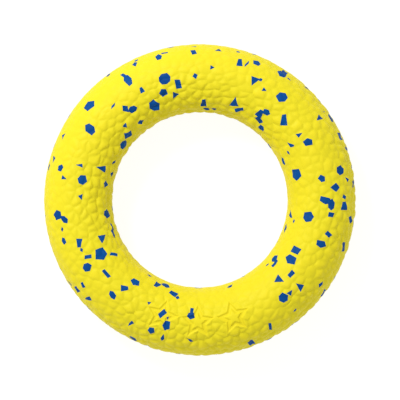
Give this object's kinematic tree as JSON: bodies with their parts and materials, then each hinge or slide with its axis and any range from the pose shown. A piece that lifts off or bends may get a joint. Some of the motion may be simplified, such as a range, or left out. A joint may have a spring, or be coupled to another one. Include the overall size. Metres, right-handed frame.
{
  "type": "foam toss ring",
  "caption": "Thick round-section foam ring to toss and catch, with contrasting foam chips set flush in its skin and an engraved row of stars.",
  "frame": {"origin": "the ring's centre, at the height of the surface that the ring lies on", "axes": "+Z along the ring's axis, up out of the engraved face; +Y towards 12 o'clock; the engraved stars lie at 6 o'clock, towards -Y"},
  "size_m": [0.155, 0.155, 0.034],
  "materials": {
    "foam_yellow": "satin, closed-cell moulded foam skin with a soft cobbled relief",
    "foam_blue": "satin, closed-cell foam chips, flush with the skin"
  },
  "bodies": {
    "root": {"foam_body": "foam_yellow", "chips_front_12": "foam_blue", "chips_front_1": "foam_blue", "chips_front_2": "foam_blue", "chips_front_3": "foam_blue", "chips_front_4": "foam_blue", "chips_front_5": "foam_blue", "chips_front_6": "foam_blue", "chips_front_7": "foam_blue", "chips_front_8": "foam_blue", "chips_front_9": "foam_blue", "chips_front_10": "foam_blue", "chips_front_11": "foam_blue", "chips_back_12": "foam_blue", "chips_back_1": "foam_blue", "chips_back_2": "foam_blue", "chips_back_3": "foam_blue", "chips_back_4": "foam_blue", "chips_back_5": "foam_blue", "chips_back_6": "foam_blue", "chips_back_7": "foam_blue", "chips_back_8": "foam_blue", "chips_back_9": "foam_blue", "chips_back_10": "foam_blue", "chips_back_11": "foam_blue"}
  },
  "joints": []
}
